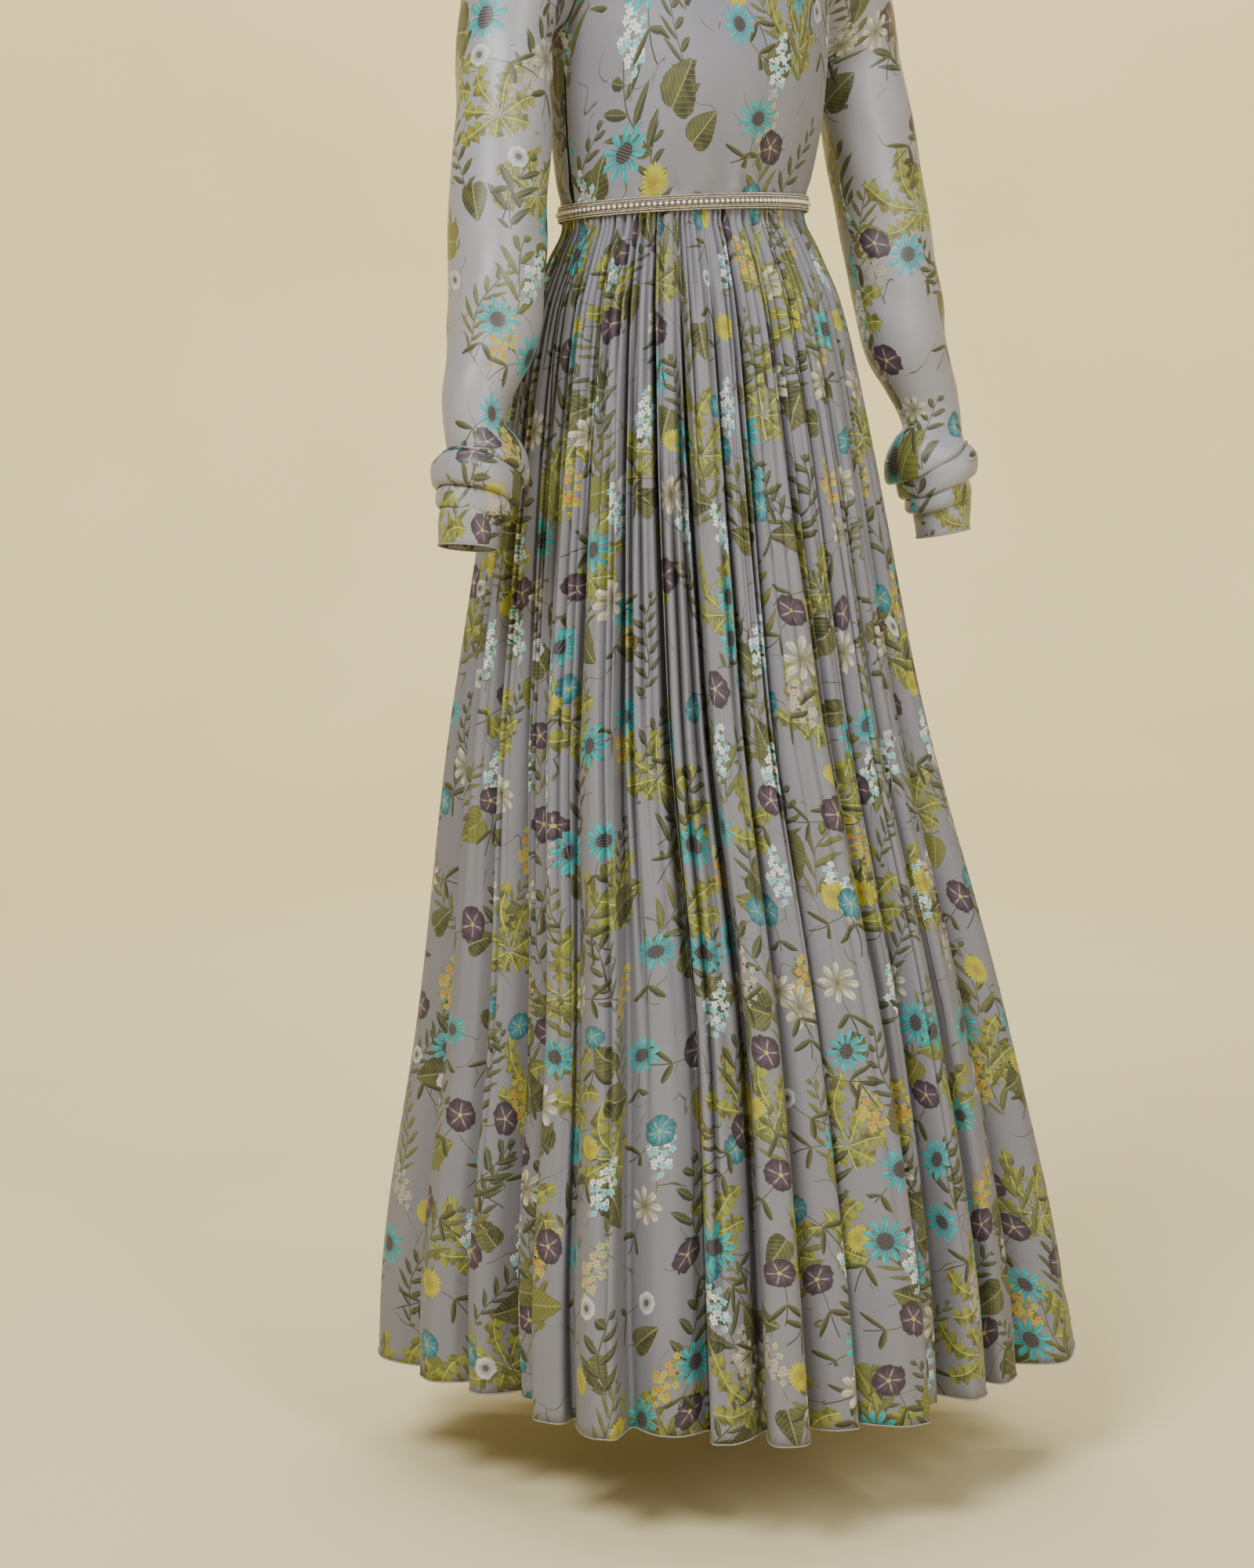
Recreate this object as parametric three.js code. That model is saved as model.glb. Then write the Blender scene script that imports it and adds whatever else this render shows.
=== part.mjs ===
// A kurta with a fitted bodice, long sleeves bunched at the wrists, a belt over a raised waist seam
// and a floor-length skirt of four gathered widths, in the hollow form that it has when worn.
// Millimetres, +Z up. The front faces -Y and the wearer's left is +X.
// The origin is midway between the shoulder seams, where the wearer carries the garment.

import * as THREE from 'three';

// Walls and gaps
const CLOTH = 1.6;
const SKIRT_CLOTH = 2.4;
const BELT_CLOTH = 2.2;
const BELT_LIFT = 0.9;
const SEAM_GAP = 0.3;

// Bodice
const WAIST_HEIGHT = -335.5;
const WAIST_RISE_FRONT = 4.3;
const WAIST_RISE_LEFT = 4.8;
const SHOULDER_HALF = 187;
const SHOULDER_TIP = -38;
const NECK_HALF = 76;
const NECK_TOP = 5;
const FRONT_NECK_DROP = 100;
const BACK_NECK_DROP = 26;
const ROUNDING_START = -100;
const NECK_COLUMNS = 4;
const SHOULDER_COLUMNS = 4;

// Belt and skirt
const BELT_HEIGHT = 13.5;
const BELT_COLUMNS = 36;
const WAIST_HALF = 119.5;
const WAIST_DEPTH = 91.5;
const SKIRT_LENGTH = 1060;
const FOLD_START = -218;
const FOLD_SHARPNESS = 0.6;
const FOLD_GROWTH = 1.2;
const FOLD_SAMPLES = [0, 0.14, 0.38, 0.62, 0.86];

// Sleeves
const SLEEVE_COLUMNS = 14;
const CAP_STEPS = [0, 0.12, 0.3, 0.52, 0.76];

// The hollow figure that the bodice is cut for: half width, depth to the front and to the back
// of its side line, and how full its section is (2 is an ellipse, and more is squarer).
const FIGURE = [
  { z: -345, half: 119.5, front: 91.5, back: 91.5, full: 2 },
  { z: -324, half: 119.5, front: 91.5, back: 91.5, full: 2 },
  { z: -311, half: 127, front: 101, back: 96, full: 2.05 },
  { z: -264, half: 129, front: 111, back: 98, full: 2.15 },
  { z: -222, half: 131, front: 114, back: 99, full: 2.2 },
  { z: -180, half: 136, front: 108, back: 101, full: 2.25 },
  { z: -160, half: 141, front: 101, back: 102, full: 2.25 },
  { z: -130, half: 162, front: 97, back: 103, full: 2.2 },
  { z: -95, half: 180, front: 89, back: 100, full: 2.2 },
  { z: -60, half: 191, front: 77, back: 89, full: 2.2 },
  { z: -30, half: 198, front: 67, back: 75, full: 2.2 },
  { z: 20, half: 200, front: 58, back: 62, full: 2.2 },
];

// The outer edge of a bodice panel: the side seam up to the underarm, then the armhole.
const PANEL_EDGE = [
  { z: WAIST_HEIGHT, half: 119.5 },
  { z: -325, half: 119.5 },
  { z: -311, half: 127 },
  { z: -264, half: 129 },
  { z: -222, half: 131 },
  { z: -180, half: 136 },
  { z: -160, half: 138 },
  { z: -138, half: 142 },
  { z: -114, half: 148 },
  { z: -90, half: 156 },
  { z: -70, half: 165 },
  { z: -52, half: 176 },
  { z: SHOULDER_TIP, half: SHOULDER_HALF },
];
const UNDERARM_ROW = 5;

// The left sleeve from the upper arm down: its centre line, its radius, and the rolls at the wrist.
const SLEEVE = [
  { z: -195, x: 196, y: -3, radius: 42 },
  { z: -255, x: 203.5, y: -12, radius: 43 },
  { z: -322, x: 212, y: -20, radius: 43 },
  { z: -412, x: 222, y: -32, radius: 44 },
  { z: -460, x: 228, y: -37, radius: 41 },
  { z: -484, x: 238, y: -40, radius: 34.5 },
  { z: -512, x: 248, y: -44, radius: 28 },
  { z: -529, x: 252, y: -47, radius: 28 },
  { z: -538, x: 249, y: -49, radius: 37 },
  { z: -551, x: 248, y: -51, radius: 41 },
  { z: -564, x: 249, y: -52, radius: 39.5 },
  { z: -570, x: 251, y: -52, radius: 34 },
  { z: -577, x: 250, y: -53, radius: 37.5 },
  { z: -588, x: 250, y: -54, radius: 39 },
  { z: -603, x: 257, y: -52, radius: 28.5 },
  { z: -634, x: 263, y: -53, radius: 25 },
];

// The skirt below the waist seam: half width, depth, and how far its middle moves forward and left.
const SKIRT = [
  { drop: 0.3, half: 119.5, depth: 91.5, forward: 0, leftward: 0 },
  { drop: 11, half: 119.5, depth: 91.5, forward: 0, leftward: 0 },
  { drop: 38, half: 131, depth: 104, forward: 0, leftward: 0 },
  { drop: 92, half: 154, depth: 128, forward: 0, leftward: 0 },
  { drop: 202, half: 178, depth: 158, forward: 0, leftward: 0 },
  { drop: 422, half: 213, depth: 206, forward: 1, leftward: 3 },
  { drop: 742, half: 272, depth: 271, forward: 13, leftward: 25 },
  { drop: 970, half: 313, depth: 313, forward: 17, leftward: 34 },
  { drop: SKIRT_LENGTH, half: 321, depth: 321, forward: 19, leftward: 38 },
];

// Half of the folds at the hem: width in degrees, how far the crest stands from the outline,
// and how far the valley after it stands from the outline.
const FOLDS = [
  { width: 18, crest: 8, valley: -36 },
  { width: 16, crest: -16, valley: -70 },
  { width: 11, crest: -35, valley: -80 },
  { width: 9, crest: -60, valley: -86 },
  { width: 14, crest: -16, valley: -38 },
  { width: 11, crest: 6, valley: -36 },
  { width: 9, crest: -18, valley: -40 },
  { width: 10, crest: 0, valley: -38 },
  { width: 12.5, crest: 9, valley: -44 },
  { width: 8.5, crest: -26, valley: -50 },
  { width: 14, crest: -12, valley: -76 },
  { width: 9, crest: -52, valley: -78 },
  { width: 11, crest: -32, valley: -56 },
  { width: 15, crest: -34, valley: -54 },
  { width: 16, crest: 4, valley: -40 },
];

// The four widths of the skirt, each from one valley to another, counted in folds.
const SKIRT_WIDTHS = [
  { name: 'skirt_right', first: 0, folds: 7 },
  { name: 'skirt_front', first: 7, folds: 7 },
  { name: 'skirt_left', first: 14, folds: 7 },
  { name: 'skirt_back', first: 21, folds: 9 },
];

const COLOURS = {
  cloth: { color: 0x96949a, roughness: 0.8, metalness: 0 },
  sleeve: { color: 0x9c9aa0, roughness: 0.62, metalness: 0 },
  belt: { color: 0xc9bfa6, roughness: 0.45, metalness: 0.2 },
};

const RIGHT_ANGLE = Math.PI / 2;
const FULL_TURN = Math.PI * 2;

// Straight-line reading of one column of a table whose rows are sorted by the column `key`.
function read(table, key, at, column) {
  const rising = table[table.length - 1][key] > table[0][key];
  const rows = rising ? table : [...table].reverse();
  let k = 0;
  while (k < rows.length - 2 && rows[k + 1][key] < at) k += 1;
  const span = rows[k + 1][key] - rows[k][key];
  const share = THREE.MathUtils.clamp((at - rows[k][key]) / span, 0, 1);
  return THREE.MathUtils.lerp(rows[k][column], rows[k + 1][column], share);
}

// A wall of cloth between an outer and an inner grid. Columns run anticlockwise seen from above
// and rows run upwards. place(column, row, inner) gives a point; a round wall closes on itself.
function wall(columns, rows, round, place) {
  const across = round ? columns : columns + 1;
  const layer = across * (rows + 1);
  const positions = [];
  for (const inner of [false, true]) {
    for (let row = 0; row <= rows; row += 1) {
      for (let column = 0; column < across; column += 1) {
        positions.push(...place(column, row, inner).toArray());
      }
    }
  }
  const at = (column, row, inner) => (inner ? layer : 0) + row * across + (column % across);
  const faces = [];
  const quad = (a, b, c, d) => faces.push(a, b, c, a, c, d);
  for (let column = 0; column < columns; column += 1) {
    const next = column + 1;
    for (let row = 0; row < rows; row += 1) {
      const above = row + 1;
      quad(at(column, row), at(next, row), at(next, above), at(column, above));
      quad(at(next, above, true), at(next, row, true), at(column, row, true), at(column, above, true));
    }
    quad(at(column, rows), at(next, rows), at(next, rows, true), at(column, rows, true));
    quad(at(column, 0, true), at(next, 0, true), at(next, 0), at(column, 0));
  }
  for (let row = 0; row < rows && !round; row += 1) {
    const above = row + 1;
    quad(at(0, row, true), at(0, row), at(0, above), at(0, above, true));
    quad(at(columns, above, true), at(columns, above), at(columns, row), at(columns, row, true));
  }
  const geometry = new THREE.BufferGeometry();
  geometry.setAttribute('position', new THREE.Float32BufferAttribute(positions, 3));
  geometry.setIndex(faces);
  geometry.computeVertexNormals();
  return geometry;
}

function piece(name, geometry, finish) {
  const mesh = new THREE.Mesh(geometry, new THREE.MeshStandardMaterial(COLOURS[finish]));
  mesh.name = name;
  return mesh;
}

// Height of the waist seam, which rises a little towards the front and the left.
function waistHeight(x, y) {
  return WAIST_HEIGHT - WAIST_RISE_FRONT * y / WAIST_DEPTH + WAIST_RISE_LEFT * x / WAIST_HALF;
}

// Height of the shoulder line over a point x across.
function shoulderHeight(x) {
  const slope = (NECK_TOP - SHOULDER_TIP) / (SHOULDER_HALF - NECK_HALF);
  return NECK_TOP - slope * (Math.abs(x) - NECK_HALF);
}

// Depth of the figure at (x, z), on the front (facing -1) or the back (facing 1).
function figureDepth(x, z, facing, inset) {
  const half = read(FIGURE, 'z', z, 'half') - inset;
  const depth = read(FIGURE, 'z', z, facing < 0 ? 'front' : 'back') - inset;
  const across = Math.min(1, Math.abs(x) / half);
  const full = read(FIGURE, 'z', z, 'full');
  const arc = Math.pow(1 - Math.pow(across, full), 1 / full);
  const roof = shoulderHeight(x) - inset;
  const climb = THREE.MathUtils.clamp((z - ROUNDING_START) / (roof - ROUNDING_START), 0, 1);
  const roundness = Math.sqrt(1 - climb * climb);
  return facing * (SEAM_GAP / 2 + depth * arc * roundness);
}

// The top edge of a bodice panel at a column counted from the centre: neckline, then shoulder seam.
function topEdge(column, neckDrop) {
  if (column <= NECK_COLUMNS) {
    const turn = RIGHT_ANGLE * column / NECK_COLUMNS;
    return { x: NECK_HALF * Math.sin(turn), z: NECK_TOP - neckDrop * Math.cos(turn) };
  }
  const share = (column - NECK_COLUMNS) / SHOULDER_COLUMNS;
  const x = THREE.MathUtils.lerp(NECK_HALF, SHOULDER_HALF, share);
  return { x, z: shoulderHeight(x) };
}

// A point of a bodice panel. `column` counts from the centre line, negative on the right.
function bodicePoint(facing, column, row, inner) {
  const inset = inner ? CLOTH : 0;
  const drop = facing < 0 ? FRONT_NECK_DROP : BACK_NECK_DROP;
  const steps = NECK_COLUMNS + SHOULDER_COLUMNS;
  const top = topEdge(Math.abs(column), drop);
  const edge = PANEL_EDGE[row];
  const rise = (edge.z - WAIST_HEIGHT) / (SHOULDER_TIP - WAIST_HEIGHT);
  const blend = Math.pow(rise, 3);
  const evenly = Math.sin(RIGHT_ANGLE * Math.abs(column) / steps);
  const share = THREE.MathUtils.lerp(evenly, top.x / SHOULDER_HALF, blend);
  const x = Math.sign(column) * (edge.half - inset) * share;
  const ceiling = Math.min(top.z, shoulderHeight(x) - inset);
  const z = THREE.MathUtils.lerp(WAIST_HEIGHT, ceiling, rise);
  const y = figureDepth(x, z, facing, inset);
  const seam = (waistHeight(x, y) - WAIST_HEIGHT) * Math.max(0, 1 - 2 * rise);
  return new THREE.Vector3(x, y, z + seam + (row === 0 ? SEAM_GAP / 2 : 0));
}

function bodiceFront() {
  const steps = NECK_COLUMNS + SHOULDER_COLUMNS;
  const rows = PANEL_EDGE.length - 1;
  const place = (column, row, inner) => bodicePoint(-1, column - steps, row, inner);
  return piece('bodice_front', wall(2 * steps, rows, false, place), 'cloth');
}

// Half of the back, on the wearer's left (hand 1) or right (hand -1), up to the centre-back seam.
function bodiceBack(hand) {
  const steps = NECK_COLUMNS + SHOULDER_COLUMNS;
  const rows = PANEL_EDGE.length - 1;
  const place = (column, row, inner) => {
    const fromCentre = hand > 0 ? steps - column : column;
    const point = bodicePoint(1, fromCentre, row, inner);
    point.x = hand * Math.max(point.x, SEAM_GAP / 2);
    return point;
  };
  const name = hand > 0 ? 'bodice_back_left' : 'bodice_back_right';
  return piece(name, wall(steps, rows, false, place), 'cloth');
}

// The armhole as a ring that starts at the shoulder tip and runs down the back and up the front.
function armholeRing() {
  const top = PANEL_EDGE.length - 1;
  const steps = NECK_COLUMNS + SHOULDER_COLUMNS;
  const ring = [];
  for (let row = top; row >= UNDERARM_ROW; row -= 1) ring.push(bodicePoint(1, steps, row, false));
  for (let row = UNDERARM_ROW + 1; row < top; row += 1) ring.push(bodicePoint(-1, steps, row, false));
  ring[0].y = 0;
  ring[top - UNDERARM_ROW].y = 0;
  for (const point of ring) point.x += SEAM_GAP;
  return ring;
}

// A ring of the sleeve square to its centre line.
function sleeveRing(index, column, inset) {
  const here = SLEEVE[index];
  const upper = SLEEVE[Math.max(0, index - 1)];
  const lower = SLEEVE[Math.min(SLEEVE.length - 1, index + 1)];
  const along = new THREE.Vector3(upper.x - lower.x, upper.y - lower.y, upper.z - lower.z).normalize();
  const outward = new THREE.Vector3(1, 0, 0).addScaledVector(along, -along.x).normalize();
  const backward = new THREE.Vector3().crossVectors(along, outward);
  const turn = FULL_TURN * column / SLEEVE_COLUMNS;
  return new THREE.Vector3(here.x, here.y, here.z)
    .addScaledVector(outward, (here.radius - inset) * Math.cos(turn))
    .addScaledVector(backward, (here.radius - inset) * Math.sin(turn));
}

// The sleeve head runs as a curve from each point of the armhole to the ring of the upper arm.
function sleeveHead(armhole, centre, column, step, inset) {
  const start = armhole[column].clone();
  const inward = new THREE.Vector3(0, centre.y - start.y, centre.z - start.z).normalize();
  start.addScaledVector(inward, inset);
  const end = sleeveRing(0, column, inset);
  const reach = start.distanceTo(end);
  const leave = start.clone().add(new THREE.Vector3(0.87, 0, -0.5).multiplyScalar(0.3 * reach));
  const arrive = end.clone().add(new THREE.Vector3(-0.16, 0, 0.98).multiplyScalar(0.42 * reach));
  return new THREE.CubicBezierCurve3(start, leave, arrive, end).getPoint(step);
}

function sleeve(hand) {
  const armhole = armholeRing();
  const centre = armhole.reduce((sum, point) => sum.add(point), new THREE.Vector3());
  centre.divideScalar(armhole.length);
  const rings = SLEEVE.length;
  const rows = rings + CAP_STEPS.length - 1;
  const place = (column, row, inner) => {
    const inset = inner ? CLOTH : 0;
    const mirrored = hand > 0 ? column : (SLEEVE_COLUMNS - column) % SLEEVE_COLUMNS;
    const point = row < rings
      ? sleeveRing(rings - 1 - row, mirrored, inset)
      : sleeveHead(armhole, centre, mirrored, CAP_STEPS[rows - row], inset);
    point.x *= hand;
    return point;
  };
  const name = hand > 0 ? 'sleeve_left' : 'sleeve_right';
  return piece(name, wall(SLEEVE_COLUMNS, rows, true, place), 'sleeve');
}

// The belt lies over the waist seam and its ends meet at the centre back.
function waistBand() {
  const place = (column, row, inner) => {
    const lift = BELT_LIFT + (inner ? 0 : BELT_CLOTH);
    const gap = SEAM_GAP / (2 * WAIST_HALF);
    const turn = RIGHT_ANGLE + gap + (FULL_TURN - 2 * gap) * column / BELT_COLUMNS;
    const x = (WAIST_HALF + lift) * Math.cos(turn);
    const y = (WAIST_DEPTH + lift) * Math.sin(turn);
    return new THREE.Vector3(x, y, waistHeight(x, y) + (row - 0.5) * BELT_HEIGHT);
  };
  return piece('waist_band', wall(BELT_COLUMNS, 1, false, place), 'belt');
}

// All folds round the hem: the table, then the same folds in the opposite order on the far side.
function foldsRound() {
  const far = FOLDS.map((fold, k) => ({ ...fold, valley: FOLDS[(k + FOLDS.length - 1) % FOLDS.length].valley }));
  const all = [...FOLDS, ...far.reverse()];
  const total = all.reduce((sum, fold) => sum + fold.width, 0);
  let start = FOLD_START;
  return all.map((fold, k) => {
    const width = fold.width * 360 / total;
    const before = all[(k + all.length - 1) % all.length].valley;
    const row = { ...fold, start, width, before };
    start += width;
    return row;
  });
}

// A point of the skirt wall at share t across a fold, on a level of the skirt table.
function skirtPoint(fold, t, level, inner, nudge) {
  const inset = inner ? SKIRT_CLOTH : 0;
  const growth = Math.pow(level.drop / SKIRT_LENGTH, FOLD_GROWTH);
  const valley = t < 0.5 ? fold.before : fold.valley;
  const crestShare = Math.pow(Math.sin(Math.PI * t), FOLD_SHARPNESS);
  const relief = THREE.MathUtils.lerp(valley, fold.crest, crestShare) * growth - inset;
  const turn = THREE.MathUtils.degToRad(fold.start + fold.width * t) + nudge / level.depth;
  const x = level.leftward + (level.half + relief) * Math.cos(turn);
  const y = (level.depth + relief) * Math.sin(turn) - level.forward;
  const tilt = (waistHeight(x, y) - WAIST_HEIGHT) * (1 - growth);
  return new THREE.Vector3(x, y, WAIST_HEIGHT - level.drop + tilt);
}

function skirtWidth(width) {
  const all = foldsRound();
  const samples = FOLD_SAMPLES.length;
  const columns = width.folds * samples;
  const rows = SKIRT.length - 1;
  const place = (column, row, inner) => {
    const last = column === columns;
    const index = (width.first + Math.floor(column / samples) - (last ? 1 : 0)) % all.length;
    const t = last ? 1 : FOLD_SAMPLES[column % samples];
    const nudge = column === 0 ? SEAM_GAP : 0;
    return skirtPoint(all[index], t, SKIRT[rows - row], inner, nudge);
  };
  return piece(width.name, wall(columns, rows, false, place), 'cloth');
}

const kurta = new THREE.Group();
kurta.add(bodiceFront(), bodiceBack(1), bodiceBack(-1));
kurta.add(sleeve(1), sleeve(-1));
kurta.add(waistBand());
for (const width of SKIRT_WIDTHS) kurta.add(skirtWidth(width));

export default kurta;
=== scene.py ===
"""Looks of a floor-length gathered kurta: printed georgette, a pearl belt, bunched sleeves.

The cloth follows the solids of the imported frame: every surface is worked out from the same
tables in millimetres and is put into its mesh in metres. The front faces -Y.
"""

import math
from functools import partial

import bmesh
import bpy
import numpy as np
from mathutils import Matrix


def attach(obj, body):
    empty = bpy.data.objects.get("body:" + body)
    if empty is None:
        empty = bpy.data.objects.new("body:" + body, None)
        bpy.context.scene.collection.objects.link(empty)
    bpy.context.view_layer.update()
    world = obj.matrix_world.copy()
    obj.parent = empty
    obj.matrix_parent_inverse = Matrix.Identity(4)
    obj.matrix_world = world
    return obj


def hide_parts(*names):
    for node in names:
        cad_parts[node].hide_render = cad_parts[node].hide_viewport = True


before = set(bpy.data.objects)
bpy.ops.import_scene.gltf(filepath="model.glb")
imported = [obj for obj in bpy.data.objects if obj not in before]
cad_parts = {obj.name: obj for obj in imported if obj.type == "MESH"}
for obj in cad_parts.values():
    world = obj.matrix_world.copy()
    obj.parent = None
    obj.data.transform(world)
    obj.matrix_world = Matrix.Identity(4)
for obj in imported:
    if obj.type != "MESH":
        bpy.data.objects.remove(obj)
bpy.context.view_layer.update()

# ---- Measures, in millimetres ----
MM = 0.001
SEAM_GAP = 0.3
CLOTH = 0.6
WAIST_HEIGHT = -335.5
WAIST_RISE_FRONT = 4.3
WAIST_RISE_LEFT = 4.8
WAIST_HALF = 119.5
WAIST_DEPTH = 91.5
SHOULDER_HALF = 187
SHOULDER_TIP = -38
NECK_HALF = 76
NECK_TOP = 5
FRONT_NECK_DROP = 100
BACK_NECK_DROP = 26
ROUNDING_START = -100
# Columns of a bodice panel's tables, over the neck and over the shoulder
NECK_STEPS = 4
SHOULDER_STEPS = 4
BELT_HEIGHT = 13.5
BELT_END_GAP = 0.25
PEARL_RADIUS = 1.85
PEARL_PITCH = 5.2
SKIRT_LENGTH = 1060
FOLD_START = -218
FOLD_GROWTH = 1.2
# Steps round an armhole, and the row of PANEL_EDGE at its lowest point
ARM_STEPS = 14
UNDERARM_ROW = 5
SLEEVE_GIRTH = 265
# Direction, seen from above, of the outer side of a sleeve, away from the body
OUTER_SIDE = (0.809, -0.588)
# Where the hem curls: degrees round the skirt, and how far to either side
CURL_AT, CURL_SPREAD = -37, 8
CURL_OUT, CURL_LIFT = 7, 24

FIGURE = {
    "z": (-335.5, -325, -311, -264, -222, -180, -160, -130, -95, -60, -30, 20),
    "half": (119.5, 121, 124.5, 129, 131, 136, 141, 162, 180, 191, 198, 200),
    "front": (91.5, 93, 96.5, 109, 114, 108, 101, 97, 89, 77, 67, 58),
    "back": (91.5, 92.5, 94.5, 98, 99, 101, 102, 103, 100, 89, 75, 62),
    "full": (2, 2, 2.05, 2.15, 2.2, 2.25, 2.25, 2.2, 2.2, 2.2, 2.2, 2.2),
}
PANEL_EDGE = {
    "z": FIGURE["z"][:6] + (-160, -138, -114, -90, -70, -52, -38),
    "half": FIGURE["half"][:6] + (138, 142, 148, 156, 165, 176, 187),
}
ARM = {
    "z": (-634, -610, -600, -590, -577, -566, -556, -545, -531, -512, -484, -460, -412, -322,
          -255, -195),
    "x": (268, 266.5, 263, 261, 258, 252.5, 250.5, 253.5, 257, 254.5, 244, 234, 225.5, 213.5,
          203.5, 196),
    "y": (-53, -53, -53, -53, -52, -51.5, -50.5, -49, -47, -44, -40, -37, -32, -20, -12, -3),
}
# The sleeve from the upper arm to the cuff, row by row along the cloth. At the wrist two bags
# of cloth hang over one another, with a small third one on the inner side. `tilt` lowers the
# side towards the body and `sag` moves cloth to that side.
SLEEVE = {
    "z": (-195, -225, -255, -322, -370, -412, -440, -460, -484, -503, -518,
          -531, -538, -545, -552, -559, -564, -567, -565, -560,
          -561, -565, -571, -578, -584, -589, -590, -586,
          -588, -593, -599, -604, -606, -603, -605, -612, -622, -634),
    "radius": (42, 43, 43, 43, 43, 42, 41, 39, 33.5, 30.5, 28.5,
               27.5, 29, 32, 35.5, 38.5, 39.5, 37.5, 33, 30,
               31.5, 35.5, 38.5, 39.5, 38.5, 36, 32.5, 29.5,
               30.5, 32.5, 33, 31.5, 28.5, 26.5, 27, 27.5, 26.5, 25.5),
    "tilt": (0, 0, 0, 0, 0, 0, 0, 0, 0, 0.02, 0.04,
             0.06, 0.09, 0.13, 0.17, 0.21, 0.23, 0.23, 0.22, 0.2,
             0.18, 0.17, 0.17, 0.17, 0.17, 0.17, 0.16, 0.15,
             0.13, 0.11, 0.1, 0.1, 0.1, 0.11, 0.12, 0.14, 0.16, 0.16),
    "sag": (0, 0, 0, 0, 0, 0, 0, 0, 0, 0, 0,
            0, 0.5, 1, 2, 2.5, 2.5, 2, 1, 0.5,
            0, -1, -1.5, -2, -1.5, -1, 0, 0,
            0.5, 1.5, 2, 2, 1, 0.5, 0, 0, 0, 0),
}
SKIRT = {
    "drop": (0.3, 11, 38, 92, 202, 422, 742, 970, 1060),
    "half": (119.5, 119.5, 131, 154, 178, 213, 272, 313, 321),
    "depth": (91.5, 91.5, 104, 128, 158, 206, 271, 313, 321),
    "forward": (0, 0, 0, 0, 0, 1, 13, 17, 19),
    "leftward": (0, 0, 0, 0, 0, 3, 25, 34, 38),
}
FOLDS = {
    "width": (18, 16, 11, 9, 14, 11, 9, 10, 12.5, 8.5, 14, 9, 11, 15, 16),
    "crest": (8, -16, -35, -60, -16, 6, -18, 0, 9, -26, -12, -52, -32, -34, 4),
    "valley": (-36, -70, -80, -86, -38, -36, -40, -38, -44, -50, -76, -78, -56, -54, -40),
}
# First fold of each width of the skirt, and how many folds it has
WIDTHS = {"skirt_right": (0, 7), "skirt_front": (7, 7), "skirt_left": (14, 7), "skirt_back": (21, 9)}

chance = np.random.default_rng(7)


# ---- Reading tables ----
def steady(xs, ys, at):
    """A smooth curve through the rows (xs, ys) that never overshoots them: each span is a cubic
    whose end slopes are the harmonic means of the neighbouring straight slopes."""
    xs, ys = np.asarray(xs, float), np.asarray(ys, float)
    if xs[0] > xs[-1]:
        xs, ys = xs[::-1], ys[::-1]
    step = np.diff(xs)
    rise = np.diff(ys) / step
    slope = np.concatenate([[rise[0]], np.zeros(len(xs) - 2), [rise[-1]]])
    together = rise[:-1] * rise[1:] > 0
    mean = 2 * rise[:-1] * rise[1:] / np.where(together, rise[:-1] + rise[1:], 1)
    slope[1:-1] = np.where(together, mean, 0)
    at = np.clip(np.asarray(at, float), xs[0], xs[-1])
    k = np.clip(np.searchsorted(xs, at, side="right") - 1, 0, len(step) - 1)
    t = (at - xs[k]) / step[k]
    return (
        (1 + 2 * t) * (1 - t) ** 2 * ys[k]
        + t * (1 - t) ** 2 * step[k] * slope[k]
        + t**2 * (3 - 2 * t) * ys[k + 1]
        + t**2 * (t - 1) * step[k] * slope[k + 1]
    )


def read(table, at, *columns):
    """Smooth reading of columns of a table by its first column, a height or a drop."""
    heights = next(iter(table.values()))
    values = [steady(heights, table[column], at) for column in columns]
    return values if len(values) > 1 else values[0]


def by_row(table, at):
    """Smooth reading of all columns of a table by its row number."""
    return [steady(np.arange(len(column)), column, at) for column in table.values()]


def lerp(a, b, t):
    """Straight mix of a and b."""
    return a + (b - a) * t


def ease(edge0, edge1, at):
    """Rises from 0 at edge0 to 1 at edge1 with level ends."""
    t = np.clip((np.asarray(at, float) - edge0) / (edge1 - edge0), 0, 1)
    return t * t * (3 - 2 * t)


def hump(away):
    """A bell: 1 at 0, falling as e to the minus square."""
    return np.exp(-(away**2))


def ripple(seed, count, low, high):
    """A periodic random function of a turn from 0 to 1: `count` sines of whole frequencies
    between low and high with random strengths and starts, scaled to about -1..1."""
    dice = np.random.default_rng(seed)
    often = dice.integers(low, high + 1, count)
    start = dice.uniform(0, 2 * math.pi, count)
    strength = dice.uniform(0.4, 1, count)
    strength /= np.sqrt((strength**2).sum() / 2) * 1.6

    def at(turn):
        turn = np.asarray(turn, float)[..., None]
        return (strength * np.sin(2 * math.pi * often * turn + start)).sum(-1)

    return at


def unit(vectors):
    """Vectors of the same directions and of length 1."""
    return vectors / np.linalg.norm(vectors, axis=-1, keepdims=True)


def beside(*columns):
    """Numbers set side by side as the last axis, each spread to the same shape."""
    return np.stack(np.broadcast_arrays(*columns), axis=-1)


def along_rows(points, axis):
    """Distance travelled along one axis of a grid of points, from its first row or column."""
    leg = np.linalg.norm(np.diff(points, axis=axis), axis=-1)
    start = np.zeros_like(np.take(leg, [0], axis=axis))
    return np.concatenate([start, np.cumsum(leg, axis=axis)], axis=axis)


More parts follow.
